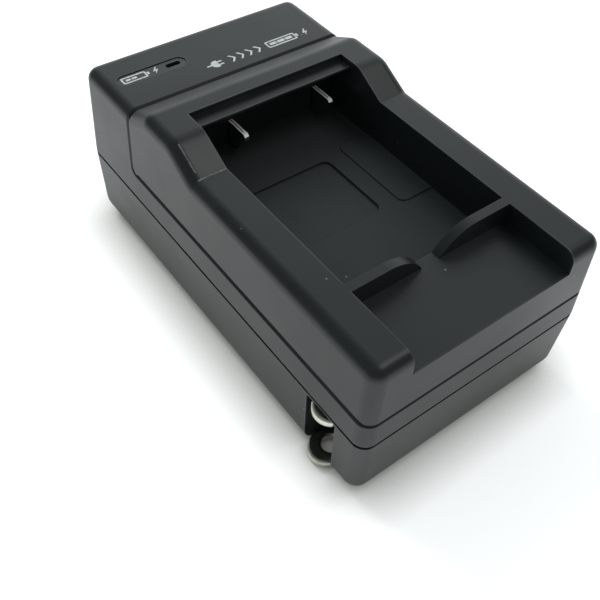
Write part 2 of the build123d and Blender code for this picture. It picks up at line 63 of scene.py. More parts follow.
# Painted highlights lie on the left shoulder, along its ramp's outer edge and at the ramp's foot.
SHOULDER_HIGHLIGHTS = (
    ((-21.6, 5.7, 33.0), (-21.35, 10.6, 37.0)),
    ((-21.8, 4.35, 33.0), (-16.4, 4.6, 33.7)))

# Coated lengths in millimetres of the parts on the circuit board, a hair over their moulded sizes.
LYING_SLEEVE = 12.05
DISC_COAT = 7.65
FUSE_COAT = 7.04
DIODE_BODY = 5.04
CHIP_BODY = 6.42
LENS_HEIGHT = 5.42
# The sleeve of the standing capacitor leaves this much of its metal top bare.
BARE_TOP = 0.2
# End faces of a part lie this far inside its coated zone.
COAT_SLACK = 0.05
# Stripes and bands on those parts, as offsets from the part's middle and as widths.
LYING_STRIPE = 2.6
LYING_STRIPE_WIDTH = 1.8
STANDING_STRIPE = -2.2
STANDING_STRIPE_WIDTH = 1.4
FUSE_BANDS = (-2.4, -1.1, 0.2, 2.2)
FUSE_BAND_WIDTH = 0.7
DIODE_BAND = 1.7
DIODE_BAND_WIDTH = 0.8


def linear(code):
    """Linear colour of an sRGB hex value."""
    parts = [int(code[start:start + 2], 16) / 255 for start in (1, 3, 5)]
    parts = [part / 12.92 if part <= 0.04045 else ((part + 0.055) / 1.055) ** 2.4 for part in parts]
    return (*parts, 1.0)


def colour(label, code, note):
    """Colour property whose default is an sRGB hex value."""
    return bpy.props.FloatVectorProperty(
        name=label, description=note, subtype="COLOR", size=4, min=0.0, max=1.0, default=linear(code))


def length(label, size, note):
    """Length property whose default is in millimetres."""
    return bpy.props.FloatProperty(
        name=label, description=note, unit="LENGTH", default=size * MM, precision=5)


def spot(label, place, note):
    """Place property whose default is in millimetres."""
    return bpy.props.FloatVectorProperty(
        name=label, description=note, subtype="TRANSLATION", unit="LENGTH",
        default=[part * MM for part in place])


def angle(label, turn, note):
    """Angle property whose default is in degrees."""
    return bpy.props.FloatProperty(name=label, description=note, subtype="ANGLE", default=radians(turn))


def power(label, watts, note):
    """Lamp power property whose default is in watts."""
    return bpy.props.FloatProperty(name=label, description=note, subtype="POWER", default=watts)


def amount(label, value, note):
    """Property that is a plain number."""
    return bpy.props.FloatProperty(name=label, description=note, default=value)


class ChargerColours(bpy.types.PropertyGroup):
    """Colours of the charger's finishes."""
    case: colour("Case", "#121718", "Black plastic of the housing")
    # Besides dust specks, this colour paints the highlights on sharp edges and on the left shoulder.
    dust: colour("Dust", "#7c807e", "Specks of dust and rubbed edges")
    # This colour is also laid evenly over the whole floor of the bay.
    film: colour("Handling film", "#1f2424", "Dry film that handling leaves on the plastic")
    window: colour("Window", "#1d2021", "Smoked plastic of the lamp window")
    ink: colour("Ink", "#c3c7c8", "Pad-printed marks")
    nickel: colour("Nickel", "#dfe0d4", "Plating of the contacts and the plug blades")
    # Part of this near-white on the contacts' upward faces is a painted highlight.
    sheared: colour("Sheared edge", "#faf8f4", "Matt edge of the contacts")
    tarnish: colour("Tarnish", "#aaa68a", "Duller patches of that plating")
    brass: colour("Spring brass", "#c9a55f", "Leaf springs")
    board: colour("Board", "#8f6d3c", "Paper laminate of the circuit board")
    ferrite: colour("Ferrite", "#2f2f32", "Transformer core")
    tape: colour("Tape", "#e0b321", "Tape over the transformer winding")
    sleeve: colour("Sleeve", "#161b33", "Shrink sleeve of the capacitors")
    stripe: colour("Stripe", "#b9bfcc", "Polarity stripes of the capacitors and the diodes")
    dip: colour("Dip", "#20509a", "Dipped coat of the disc capacitor")
    lacquer: colour("Lacquer", "#5f9c86", "Coat of the fusible resistor")
    epoxy: colour("Epoxy", "#17181a", "Moulded bodies of the diodes and the chip, and the resistor's bands")
    tin: colour("Tin", "#c4c5c6", "Tinned leads")
    lens: colour("Lens", "#c8281e", "Tinted lens of the lamp")
    zinc: colour("Zinc", "#b4b6b8", "Plated case screws")


class ChargerMarks(bpy.types.PropertyGroup):
    """Sizes and places of the printed marks."""
    ink_thickness: length("Ink thickness", 0.03, "How far the ink stands over the plastic")
    line: length("Line", 0.34, "Width of the ink lines")
    window_height: length("Window mark height", 1.9, "Height of the mark on the lamp window")
    window_start: length("Window mark start", -19.6, "Left end of the mark on the lamp window")
    head_height: length("Head mark height", 2.1, "Height of the mark on the head")
    head_start: length("Head mark start", -4.6, "Left end of the mark on the head")
    head_place: length("Head mark place", 27.7, "Lower edge of the mark on the head")


class ChargerStage(bpy.types.PropertyGroup):
    """Camera, floor, light and lamps."""
    place: spot("Camera place", (-68.34, -78.77, 116.90), "Where the camera stands")
    azimuth: angle("Azimuth", -39.7913, "Direction the camera looks from")
    elevation: angle("Elevation", 49.8476, "Camera angle over the horizon")
    roll: angle("Roll", 4.0297, "Camera turn about its line of sight")
    lens: bpy.props.FloatProperty(
        name="Lens", description="Focal length on a 36 mm frame", subtype="DISTANCE_CAMERA", default=46.925)
    floor: length("Floor", 3000.0, "Width of the floor")
    floor_drop: length("Floor drop", 0.02, "Gap between the floor and the underside")
    paper: colour("Paper", "#f2f3f3", "Floor away from the charger")
    shadow: colour("Shadow", "#a6a49a", "Floor close under the charger")
    shadow_reach: length("Shadow reach", 9.0, "How far the dark shadow reaches")
    shadow_fall: amount("Shadow fall", 1.5, "How steeply the dark shadow fades")
    seen_lift: amount("Seen lift", 0.42, "Glow that whitens the floor for the camera")
    mirror_lift: amount("Mirror lift", 0.22, "Glow that whitens the floor in mirrors")
    sky: amount("Sky", 0.6, "Strength of the even light")
    daylight: colour("Daylight", "#f8ffff", "Cool tint of the even light")
    dim: amount("Dim room", 0.2, "Strength in mirrors of the room away from its white wall")
    wall: bpy.props.FloatVectorProperty(
        name="White wall", description="Direction of the white wall", subtype="DIRECTION",
        default=(0.6, 0.76, 0.25))
    wall_edge: amount("White wall edge", 0.6, "Cosine of the angle from its middle at which the wall ends")
    wall_strength: amount("White wall strength", 1.15, "Strength in mirrors of the white wall's middle")
    back_lamp: power("Back lamp", 5.2, "Power of the lamp behind")
    back_place: spot("Back lamp place", (-100.0, 760.0, 750.0), "Where the lamp behind hangs")
    top_lamp: power("Top lamp", 1.5, "Power of the lamp overhead")
    top_place: spot("Top lamp place", (380.0, -160.0, 920.0), "Where the lamp overhead hangs")
    lamp_width: length("Lamp width", 500.0, "Width of each lamp")


def add_node(tree, kind, inputs, **settings):
    """Add a shader node, give it its settings, and set or link each input that is named."""
    node = tree.nodes.new(kind)
    for name, value in settings.items():
        setattr(node, name, value)
    for name, value in inputs.items():
        if isinstance(value, bpy.types.NodeSocket):
            tree.links.new(value, node.inputs[name])
        else:
            node.inputs[name].default_value = value
    return node


def start_material(name):
    """New material with its tree, its surface shader and the piece's own coordinates."""
    material = bpy.data.materials.new(name)
    material.use_nodes = True
    tree = material.node_tree
    place = add_node(tree, "ShaderNodeTexCoord", {}).outputs["Object"]
    return material, tree, tree.nodes["Principled BSDF"], place


def pattern_scale(size):
    """Texture scale whose features are that many millimetres across."""
    return 1 / (size * MM)


def vary_roughness(tree, shader, pattern, least, most):
    """Let a surface's roughness follow a noise pattern between two values."""
    gloss = add_node(tree, "ShaderNodeMapRange", {
        "Value": pattern.outputs["Fac"], "From Min": NOISE_LOW, "From Max": NOISE_HIGH,
        "To Min": least, "To Max": most})
    tree.links.new(gloss.outputs["Result"], shader.inputs["Roughness"])


def box_mask(tree, place, low, high):
    """Socket that is 1 between two corners given in millimetres, and 0 elsewhere."""
    axes = add_node(tree, "ShaderNodeSeparateXYZ", {"Vector": place})
    mask = 1.0
    for axis, least, most in zip("XYZ", low, high):
        near = add_node(tree, "ShaderNodeMath", {
            0: axes.outputs[axis], 1: (least + most) / 2 * MM, 2: (most - least) / 2 * MM},
            operation="COMPARE")
        both = add_node(tree, "ShaderNodeMath", {0: near.outputs["Value"], 1: mask}, operation="MULTIPLY")
        mask = both.outputs["Value"]
    return mask


def seen_rays(tree):
    """Light path node, and a socket that is 1 for rays from the camera, straight or through glass."""
    rays = add_node(tree, "ShaderNodeLightPath", {})
    seen = add_node(tree, "ShaderNodeMath", {
        0: rays.outputs["Is Camera Ray"], 1: rays.outputs["Is Transmission Ray"]}, operation="MAXIMUM")
    return rays, seen.outputs["Value"]


def dress(material, *nodes):
    """Give CAD nodes a material."""
    for name in nodes:
        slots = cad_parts[name].data.materials
        slots.clear()
        slots.append(material)


def dust_and_painted_highlights(tree, place, film):
    """Socket that tells how far dust specks and painted highlights pale the plastic."""
    # Painted highlights pale the sharp convex edges, unevenly, but not those deep in the bay.
    edges = add_node(
        tree, "ShaderNodeAmbientOcclusion", {"Distance": 0.4 * MM}, samples=6, inside=True, only_local=True)
    highlit = add_node(tree, "ShaderNodeMapRange", {
        "Value": edges.outputs["AO"], "From Min": 0.9, "From Max": 0.5, "To Min": 0.0, "To Max": 0.25})
    uneven = add_node(tree, "ShaderNodeMapRange", {
        "Value": film, "From Min": 0.35, "From Max": 0.6, "To Min": 0.2, "To Max": 1.0})
    highlit = add_node(tree, "ShaderNodeMath", {
        0: highlit.outputs["Result"], 1: uneven.outputs["Result"]}, operation="MULTIPLY")
    highlit = add_node(tree, "ShaderNodeMapRange", {
        "Value": box_mask(tree, place, *BAY_DEPTHS), "To Min": highlit.outputs["Value"], "To Max": 0.0})
    # Specks of dust are scattered about 5 mm apart in space, and show up to 0.4 mm wide on a surface.
    specks = add_node(tree, "ShaderNodeTexVoronoi", {"Vector": place, "Scale": pattern_scale(5.0)})
    dust = add_node(tree, "ShaderNodeMapRange", {
        "Value": specks.outputs["Distance"], "From Min": 0.04, "From Max": 0.02,
        "To Min": 0.0, "To Max": 0.8})
    pale = add_node(tree, "ShaderNodeMath", {
        0: highlit.outputs["Result"], 1: dust.outputs["Result"]}, operation="MAXIMUM")
    # Painted highlights on the left shoulder, broken up by a fine noise.
    highlight_breakup = add_node(tree, "ShaderNodeTexNoise", {
        "Vector": place, "Scale": pattern_scale(0.5), "Detail": 3.0, "Roughness": 0.7})
    broken = add_node(tree, "ShaderNodeMapRange", {
        "Value": highlight_breakup.outputs["Fac"], "From Min": NOISE_LOW, "From Max": NOISE_HIGH,
        "To Min": 0.0, "To Max": 0.8})
    for low, high in SHOULDER_HIGHLIGHTS:
        pale = add_node(tree, "ShaderNodeMath", {
            0: box_mask(tree, place, low, high), 1: broken.outputs["Result"], 2: pale.outputs["Value"]},
            operation="MULTIPLY_ADD", use_clamp=True)
    return pale.outputs["Value"]


def moulded_abs(colours):
    """Black ABS from a spark-eroded mould.

    The eye sees an even satin black that pales where it mirrors the room, with a dry film from handling.
    """
    material, tree, shader, place = start_material("moulded ABS, spark-eroded")
    # The real grain is about 0.05 mm, too fine for the render, so it is drawn 0.3 mm wide.
    grain = add_node(tree, "ShaderNodeTexNoise", {
        "Vector": place, "Scale": pattern_scale(0.3), "Detail": 2.0, "Roughness": 0.5})
    film = add_node(tree, "ShaderNodeTexNoise", {
        "Vector": place, "Scale": pattern_scale(18.0), "Detail": 6.0, "Roughness": 0.62})
    thin_film = add_node(tree, "ShaderNodeMapRange", {
        "Value": film.outputs["Fac"], "From Min": 0.42, "From Max": 0.75, "To Min": 0.0, "To Max": 0.35})
    # The whole floor of the bay takes the film's paler colour, and below it is made rougher.
    bay_floor = box_mask(tree, place, *BAY_FLOOR)
    film_and_bay_floor = add_node(tree, "ShaderNodeMath", {
        0: bay_floor, 1: thin_film.outputs["Result"]}, operation="MAXIMUM")
    plastic = add_node(tree, "ShaderNodeMix", {
        "Factor": film_and_bay_floor.outputs["Value"], "A": colours.case, "B": colours.film}, data_type="RGBA")
    # Dust specks and painted highlights pale the plastic here.
    worn = add_node(tree, "ShaderNodeMix", {
        "Factor": dust_and_painted_highlights(tree, place, film.outputs["Fac"]), "A": plastic.outputs["Result"],
        "B": colours.dust}, data_type="RGBA")
    satin = add_node(tree, "ShaderNodeMapRange", {
        "Value": film.outputs["Fac"], "From Min": NOISE_LOW, "From Max": NOISE_HIGH,
        "To Min": 0.32, "To Max": 0.42})
    # The walls of the plug's pocket were never polished, so they stay dark.
    rough = add_node(tree, "ShaderNodeMath", {
        0: bay_floor, 1: box_mask(tree, place, *LOWER_SHELL_INSIDE)}, operation="MAXIMUM")
    gloss = add_node(tree, "ShaderNodeMath", {
        0: rough.outputs["Value"], 1: 0.25, 2: satin.outputs["Result"]}, operation="MULTIPLY_ADD")
    # Moulded edges are never sharp: their 0.1 mm rounding catches the light.
    edges = add_node(tree, "ShaderNodeBevel", {"Radius": 0.1 * MM}, samples=6)
    bump = add_node(tree, "ShaderNodeBump", {
        "Height": grain.outputs["Fac"], "Strength": 0.25, "Distance": 0.02 * MM,
        "Normal": edges.outputs["Normal"]})
    tree.links.new(worn.outputs["Result"], shader.inputs["Base Color"])
    tree.links.new(gloss.outputs["Value"], shader.inputs["Roughness"])
    tree.links.new(bump.outputs["Normal"], shader.inputs["Normal"])
    shader.inputs["IOR"].default_value = 1.52
    return material


def smoked_polycarbonate(colours):
    """Smoked polycarbonate, moulded and polished: nearly black, smoother than the case round it."""
    material, tree, shader, place = start_material("smoked polycarbonate, polished")
    haze = add_node(tree, "ShaderNodeTexNoise", {
        "Vector": place, "Scale": pattern_scale(3.0), "Detail": 4.0, "Roughness": 0.6})
    vary_roughness(tree, shader, haze, 0.26, 0.36)
    shader.inputs["Base Color"].default_value = colours.window
    shader.inputs["IOR"].default_value = 1.58
    return material


def nickel_plate(colours):
    """Nickel-plated brass, stamped and barrel-polished.

    The eye sees a pale warm metal with faint drawn lines and dull patches.
    """
    material, tree, shader, place = start_material("nickel-plated brass, polished")
    # The drawn lines are a few hundredths of a millimetre wide, and are drawn 0.15 mm wide to show.
    along = add_node(tree, "ShaderNodeMapping", {"Vector": place, "Scale": (0.05, 1.0, 1.0)})
    lines = add_node(tree, "ShaderNodeTexNoise", {
        "Vector": along.outputs["Vector"], "Scale": pattern_scale(0.15), "Detail": 2.0})
    patches = add_node(tree, "ShaderNodeTexNoise", {
        "Vector": place, "Scale": pattern_scale(2.5), "Detail": 4.0, "Roughness": 0.6})
    dull = add_node(tree, "ShaderNodeMapRange", {
        "Value": patches.outputs["Fac"], "From Min": 0.45, "From Max": 0.75, "To Min": 0.0, "To Max": 0.6})
    plating = add_node(tree, "ShaderNodeMix", {
        "Factor": dull.outputs["Result"], "A": colours.nickel, "B": colours.tarnish}, data_type="RGBA")
    # Barrel polishing rounds the stamped edges by about 0.7 mm.
    edges = add_node(tree, "ShaderNodeBevel", {"Radius": 0.7 * MM}, samples=6)
    bump = add_node(tree, "ShaderNodeBump", {
        "Height": lines.outputs["Fac"], "Strength": 0.05, "Distance": 0.01 * MM,
        "Normal": edges.outputs["Normal"]})
    vary_roughness(tree, shader, lines, 0.2, 0.26)
    tree.links.new(plating.outputs["Result"], shader.inputs["Base Color"])
    tree.links.new(bump.outputs["Normal"], shader.inputs["Normal"])
    shader.inputs["Metallic"].default_value = 1.0
    return material


def sheared_plate(colours):
    """Nickel-plated strip standing on its sheared edge.

    The eye sees dark mirror flanks, because they face the black bay, and a near-white matt top edge.
    """
    material, tree, shader, place = start_material("nickel-plated strip, sheared")
    surface = add_node(tree, "ShaderNodeNewGeometry", {})
    axes = add_node(tree, "ShaderNodeSeparateXYZ", {"Vector": surface.outputs["Normal"]})
    # Faces that look up are painted near-white and matt: partly the sheared edge's finish, partly a painted
    # highlight.
    edge = add_node(tree, "ShaderNodeMapRange", {
        "Value": axes.outputs["Z"], "From Min": 0.3, "From Max": 0.8}, interpolation_type="SMOOTHSTEP")
    tears = add_node(tree, "ShaderNodeTexNoise", {
        "Vector": place, "Scale": pattern_scale(0.2), "Detail": 4.0, "Roughness": 0.7})
    bump = add_node(tree, "ShaderNodeBump", {
        "Height": tears.outputs["Fac"], "Strength": edge.outputs["Result"], "Distance": 0.03 * MM})
    tone = add_node(tree, "ShaderNodeMix", {
        "Factor": edge.outputs["Result"], "A": colours.nickel, "B": colours.sheared}, data_type="RGBA")
    metal = add_node(tree, "ShaderNodeMapRange", {
        "Value": edge.outputs["Result"], "To Min": 1.0, "To Max": 0.0})
    gloss = add_node(tree, "ShaderNodeMapRange", {
        "Value": edge.outputs["Result"], "To Min": 0.14, "To Max": 0.6})
    tree.links.new(tone.outputs["Result"], shader.inputs["Base Color"])
    tree.links.new(metal.outputs["Result"], shader.inputs["Metallic"])
    tree.links.new(gloss.outputs["Result"], shader.inputs["Roughness"])
    tree.links.new(bump.outputs["Normal"], shader.inputs["Normal"])
    return material


def rolled_brass(colours):
    """Rolled brass strip, bare: yellow metal with fine lines along the roll."""
    material, tree, shader, place = start_material("rolled brass, bare")
    along = add_node(tree, "ShaderNodeMapping", {"Vector": place, "Scale": (0.05, 0.05, 1.0)})
    lines = add_node(tree, "ShaderNodeTexNoise", {
        "Vector": along.outputs["Vector"], "Scale": pattern_scale(0.2), "Detail": 2.0})
    vary_roughness(tree, shader, lines, 0.2, 0.4)
    shader.inputs["Base Color"].default_value = colours.brass
    shader.inputs["Metallic"].default_value = 1.0
    return material


def zinc_steel(colours):
    """Zinc-plated steel screws: grey satin metal with a faint cloudy bloom."""
    material, tree, shader, place = start_material("zinc-plated steel")
    bloom = add_node(tree, "ShaderNodeTexNoise", {
        "Vector": place, "Scale": pattern_scale(0.8), "Detail": 4.0, "Roughness": 0.6})
    vary_roughness(tree, shader, bloom, 0.28, 0.45)
    shader.inputs["Base Color"].default_value = colours.zinc
    shader.inputs["Metallic"].default_value = 1.0
    return material


def paper_laminate(colours):
    """Paper phenolic board, pressed and sawn: brown with pale paper flecks and a low gloss."""
    material, tree, shader, place = start_material("paper phenolic laminate")
    flecks = add_node(tree, "ShaderNodeTexNoise", {
        "Vector": place, "Scale": pattern_scale(0.6), "Detail": 5.0, "Roughness": 0.65})
    fleck_gain = 1.35
    pale = [min(1.0, part * fleck_gain) for part in colours.board[:3]] + [1.0]
    mix = add_node(tree, "ShaderNodeMix", {
        "Factor": flecks.outputs["Fac"], "A": colours.board, "B": pale}, data_type="RGBA")
    tree.links.new(mix.outputs["Result"], shader.inputs["Base Color"])
    shader.inputs["Roughness"].default_value = 0.48
    return material


def sintered_ferrite(colours):
    """Sintered ferrite, ground on its faces: dark grey ceramic with a fine sandy grain."""
    material, tree, shader, place = start_material("sintered ferrite, ground")
    sand = add_node(tree, "ShaderNodeTexNoise", {
        "Vector": place, "Scale": pattern_scale(0.25), "Detail": 4.0, "Roughness": 0.7})
    bump = add_node(tree, "ShaderNodeBump", {
        "Height": sand.outputs["Fac"], "Strength": 0.4, "Distance": 0.03 * MM})
    vary_roughness(tree, shader, sand, 0.45, 0.7)
    tree.links.new(bump.outputs["Normal"], shader.inputs["Normal"])
    shader.inputs["Base Color"].default_value = colours.ferrite
    return material


def polyester_tape(colours):
    """Polyester tape wound in layers: glossy yellow with the turns' edges showing as low steps."""
    material, tree, shader, place = start_material("polyester tape, wound")
    # The turns' edges are 4.74 mm apart.
    turns = add_node(tree, "ShaderNodeTexWave", {
        "Vector": place, "Scale": pattern_scale(4.74) * radians(360) / WAVE_RADIANS,
        "Distortion": 0.4, "Detail": 1.0}, bands_direction="Z", wave_profile="SAW")
    bump = add_node(tree, "ShaderNodeBump", {
        "Height": turns.outputs["Fac"], "Strength": 0.5, "Distance": 0.06 * MM})
    tree.links.new(bump.outputs["Normal"], shader.inputs["Normal"])
    shader.inputs["Base Color"].default_value = colours.tape
    shader.inputs["Roughness"].default_value = 0.24
    return material


def leaded_part(name, coat, tin, axis, start, end, bands=(), band_colour=None, roughness=0.3):
    """Coated body between two places on one axis, with bright tinned metal beyond it.

    The eye sees a glossy lacquer or moulded body and plain silvery wires. Each band across the body is
    an axis, a place on it and a width.
    """
    material, tree, shader, place = start_material(name)
    axes = add_node(tree, "ShaderNodeSeparateXYZ", {"Vector": place})
    body = add_node(tree, "ShaderNodeMath", {
        0: axes.outputs[axis], 1: (start + end) / 2, 2: (end - start) / 2}, operation="COMPARE")
    paint = coat
    for band_axis, middle, width in bands:
        band = add_node(tree, "ShaderNodeMath", {
            0: axes.outputs[band_axis], 1: middle, 2: width / 2}, operation="COMPARE")
        layer = add_node(tree, "ShaderNodeMix", {
            "Factor": band.outputs["Value"], "A": paint, "B": band_colour}, data_type="RGBA")
        paint = layer.outputs["Result"]
    tone = add_node(tree, "ShaderNodeMix", {
        "Factor": body.outputs["Value"], "A": tin, "B": paint}, data_type="RGBA")
    metal = add_node(tree, "ShaderNodeMath", {0: 1.0, 1: body.outputs["Value"]}, operation="SUBTRACT")
    ripple = add_node(tree, "ShaderNodeTexNoise", {
        "Vector": place, "Scale": pattern_scale(1.2), "Detail": 2.0})
    spread = 0.06
    vary_roughness(tree, shader, ripple, roughness - spread, roughness + spread)
    tree.links.new(tone.outputs["Result"], shader.inputs["Base Color"])
    tree.links.new(metal.outputs["Value"], shader.inputs["Metallic"])
    return material


def printed_ink(colours):
    """Pad-printed ink: flat pale grey film, a little thin and worn in places."""
    material, tree, shader, place = start_material("pad-printed ink")
    wear = add_node(tree, "ShaderNodeTexNoise", {
        "Vector": place, "Scale": pattern_scale(0.45), "Detail": 4.0, "Roughness": 0.65})
    thin = add_node(tree, "ShaderNodeMapRange", {
        "Value": wear.outputs["Fac"], "From Min": 0.5, "From Max": 0.78, "To Min": 0.0, "To Max": 0.75})
    mix = add_node(tree, "ShaderNodeMix", {
        "Factor": thin.outputs["Result"], "A": colours.ink, "B": colours.case}, data_type="RGBA")
    tree.links.new(mix.outputs["Result"], shader.inputs["Base Color"])
    shader.inputs["Roughness"].default_value = 0.5
    return material


def studio_floor(stage):
    """White paper sweep, matt.

    The eye sees plain white: the paper glows for the camera and in mirrors, without lighting the charger.
    """
    material, tree, shader, _ = start_material("white paper sweep")
    # Close to the case the glow fades and the paper greys, so that the shadow there stays dark.
    near = add_node(tree, "ShaderNodeAmbientOcclusion", {"Distance": stage.shadow_reach}, samples=8)
    clear = add_node(tree, "ShaderNodeMath", {
        0: near.outputs["AO"], 1: stage.shadow_fall}, operation="POWER")
    paper = add_node(tree, "ShaderNodeMix", {
        "Factor": clear.outputs["Value"], "A": stage.shadow, "B": stage.paper}, data_type="RGBA")
    rays, seen = seen_rays(tree)
    mirrored = add_node(tree, "ShaderNodeMath", {
        0: rays.outputs["Is Glossy Ray"], 1: stage.mirror_lift}, operation="MULTIPLY")
    lift = add_node(tree, "ShaderNodeMath", {
        0: seen, 1: stage.seen_lift, 2: mirrored.outputs["Value"]}, operation="MULTIPLY_ADD")
    lift = add_node(tree, "ShaderNodeMath", {
        0: lift.outputs["Value"], 1: clear.outputs["Value"]}, operation="MULTIPLY")
    tree.links.new(paper.outputs["Result"], shader.inputs["Base Color"])
    tree.links.new(lift.outputs["Value"], shader.inputs["Emission Strength"])
    shader.inputs["Emission Color"].default_value = WHITE
    shader.inputs["Roughness"].default_value = 0.9
    shader.inputs["Specular IOR Level"].default_value = 0.0
    return material


def add_bar(shape, left, low, right, high):
    """Flat rectangle between two corners. Returns its face."""
    middle = Matrix.Translation(((left + right) / 2, (low + high) / 2, 0))
    size = Matrix.Diagonal((right - left, high - low, 1, 1))
    made = bmesh.ops.create_grid(shape, x_segments=1, y_segments=1, size=0.5, matrix=middle @ size)
    return made["verts"][0].link_faces[0]


def add_outline(shape, points):
    """Flat face with a few given corners."""
    return shape.faces.new([shape.verts.new((x, y, 0)) for x, y in points])


def add_battery_sign(shape, left, width, height, line, bars):
    """Battery in outline with its terminal, and up to three charge bars."""
    right = left + width
    shell = add_bar(shape, left, 0, right, height)
    bmesh.ops.bevel(
        shape, geom=list(shell.verts), offset=line, segments=3, profile=0.5, material=-1, affect="VERTICES")
    shell = max(shape.faces, key=lambda face: face.calc_area())
    bmesh.ops.inset_individual(shape, faces=[shell], thickness=line)
    bmesh.ops.delete(shape, geom=[shell], context="FACES")
    terminal_start = right + 0.3 * line
    terminal_end = right + 1.6 * line
    add_bar(shape, terminal_start, 0.3 * height, terminal_end, 0.7 * height)
    margin = 2 * line
    pitch = (width - 2 * margin) / 3
    for index in range(bars):
        start = left + margin + index * pitch
        add_bar(shape, start + 0.2 * line, margin, start + pitch - 0.4 * line, height - margin)


def add_bolt_sign(shape, left, height):
    """Charging bolt, with its corners given in shares of its height."""
    points = (
        (0.52, 1.0), (0.08, 0.42), (0.36, 0.42), (0.18, 0.0), (0.70, 0.60), (0.42, 0.60), (0.66, 1.0))
    add_outline(shape, [(left + x * height, y * height) for x, y in points])


def add_chevron_sign(shape, left, height, line):
    """Arrow head that points along the row."""
    reach = 0.38 * height
    stroke = 1.3 * line
    points = (
        (0, height), (stroke, height), (reach + stroke, height / 2), (stroke, 0), (0, 0),
        (reach, height / 2))
    add_outline(shape, [(left + x, y) for x, y in points])


def add_plug_sign(shape, left, height, line):
    """Mains plug from the side: lead, round back, flat face and two blades."""
    radius = height / 2
    back = left + 0.45 * height
    middle = back + radius
    face_end = back + 1.35 * radius
    blade_end = back + 2.3 * radius
    made = bmesh.ops.create_circle(
        shape, cap_ends=True, segments=32, radius=radius, matrix=Matrix.Translation((middle, radius, 0)))
    body = made["verts"]
    faces = list({face for vert in body for face in vert.link_faces})
    edges = list({edge for vert in body for edge in vert.link_edges})
    bmesh.ops.bisect_plane(
        shape, geom=body + edges + faces, plane_co=(middle, 0, 0), plane_no=(1, 0, 0), clear_outer=True)
    add_bar(shape, middle, 0, face_end, height)
    for share in (0.28, 0.72):
        add_bar(shape, face_end, share * height - line / 2, blade_end, share * height + line / 2)
    add_bar(shape, left, radius - line / 2, back, radius + line / 2)


def lay_ink(shape, name, corner, thickness, material):
    """Give flat signs the ink's thickness, set them down at a place and let them ride on the housing."""
    bmesh.ops.recalc_face_normals(shape, faces=shape.faces)
    for face in shape.faces:
        if face.normal.z < 0:
            face.normal_flip()
    bmesh.ops.solidify(shape, geom=list(shape.faces), thickness=thickness)
    bmesh.ops.recalc_face_normals(shape, faces=shape.faces)
    lowest = min(vert.co.z for vert in shape.verts)
    bmesh.ops.translate(shape, verts=shape.verts, vec=Vector(corner) - Vector((0, 0, lowest)))
    mesh = bpy.data.meshes.new(name)
    shape.to_mesh(mesh)
    shape.free()
    mesh.materials.append(material)
    piece = bpy.data.objects.new(name, mesh)
    bpy.context.scene.collection.objects.link(piece)
    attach(piece, "housing")


def add_camera(scene, stage):
    """Camera that stands and looks as the stage's settings say."""
    camera = bpy.data.objects.new("camera", bpy.data.cameras.new("camera"))
    camera.data.lens = stage.lens
    camera.data.sensor_width = 36.0
    camera.data.clip_start = 1 * MM
    camera.matrix_world = (
        Matrix.Translation(stage.place) @ Matrix.Rotation(stage.azimuth, 4, "Z")
        @ Matrix.Rotation(radians(90) - stage.elevation, 4, "X") @ Matrix.Rotation(stage.roll, 4, "Z"))
    scene.collection.objects.link(camera)
    scene.camera = camera


def add_floor(scene, stage):
    """Pale floor that the charger stands on."""
    shape = bmesh.new()
    level = Matrix.Translation((0, 0, -stage.floor_drop))
    bmesh.ops.create_grid(shape, x_segments=1, y_segments=1, size=stage.floor / 2, matrix=level)
    mesh = bpy.data.meshes.new("floor")
    shape.to_mesh(mesh)
    shape.free()
    mesh.materials.append(studio_floor(stage))
    floor = bpy.data.objects.new("floor", mesh)
    scene.collection.objects.link(floor)


def add_lamp(scene, name, place, power, width):
    """Round soft lamp that points at the charger. Returns the lamp."""
    lamp = bpy.data.objects.new(name, bpy.data.lights.new(name, "AREA"))
    lamp.data.shape = "DISK"
    lamp.data.size = width
    lamp.data.energy = power
    lamp.location = place
    lamp.rotation_euler = (-lamp.location).to_track_quat("-Z", "Y").to_euler()
    scene.collection.objects.link(lamp)
    return lamp


def light_world(scene, stage):
    """World that lights evenly, is white to the camera and shows mirrors a dim room with a white wall."""
    world = bpy.data.worlds.new("studio")
    world.use_nodes = True
    scene.world = world
    tree = world.node_tree
    direction = add_node(tree, "ShaderNodeTexCoord", {})
    facing = add_node(tree, "ShaderNodeVectorMath", {
        0: direction.outputs["Generated"], 1: stage.wall}, operation="DOT_PRODUCT")
    room = add_node(tree, "ShaderNodeMapRange", {
        "Value": facing.outputs["Value"], "From Min": stage.wall_edge, "From Max": 1.0,
        "To Min": stage.dim, "To Max": stage.wall_strength})
    rays, seen = seen_rays(tree)
    unseen = add_node(tree, "ShaderNodeMapRange", {
        "Value": rays.outputs["Is Glossy Ray"], "To Min": stage.sky, "To Max": room.outputs["Result"]})
    strength = add_node(tree, "ShaderNodeMapRange", {
        "Value": seen, "To Min": unseen.outputs["Result"], "To Max": 1.0})
    tint = add_node(tree, "ShaderNodeMix", {
        "Factor": seen, "A": stage.daylight, "B": WHITE}, data_type="RGBA")
    background = tree.nodes["Background"]
    tree.links.new(tint.outputs["Result"], background.inputs["Color"])
    tree.links.new(strength.outputs["Result"], background.inputs["Strength"])


class CHARGER_OT_dress_case(bpy.types.Operator):
    """Finish the housing, the battery cradle, the lamp window, the plug's carrier and the case screws"""
    bl_idname = "charger.dress_case"
    bl_label = "Dress the case"

    def execute(self, context):
        colours = context.scene.charger_colours
        dress(
            moulded_abs(colours), "lower_case", "upper_case", "battery_cradle", "contact_holder",
            "plug_carrier", "plug_cover", "dc_socket")
        dress(smoked_polycarbonate(colours), "indicator_window")
        dress(zinc_steel(colours), "case_screws")
        return {"FINISHED"}


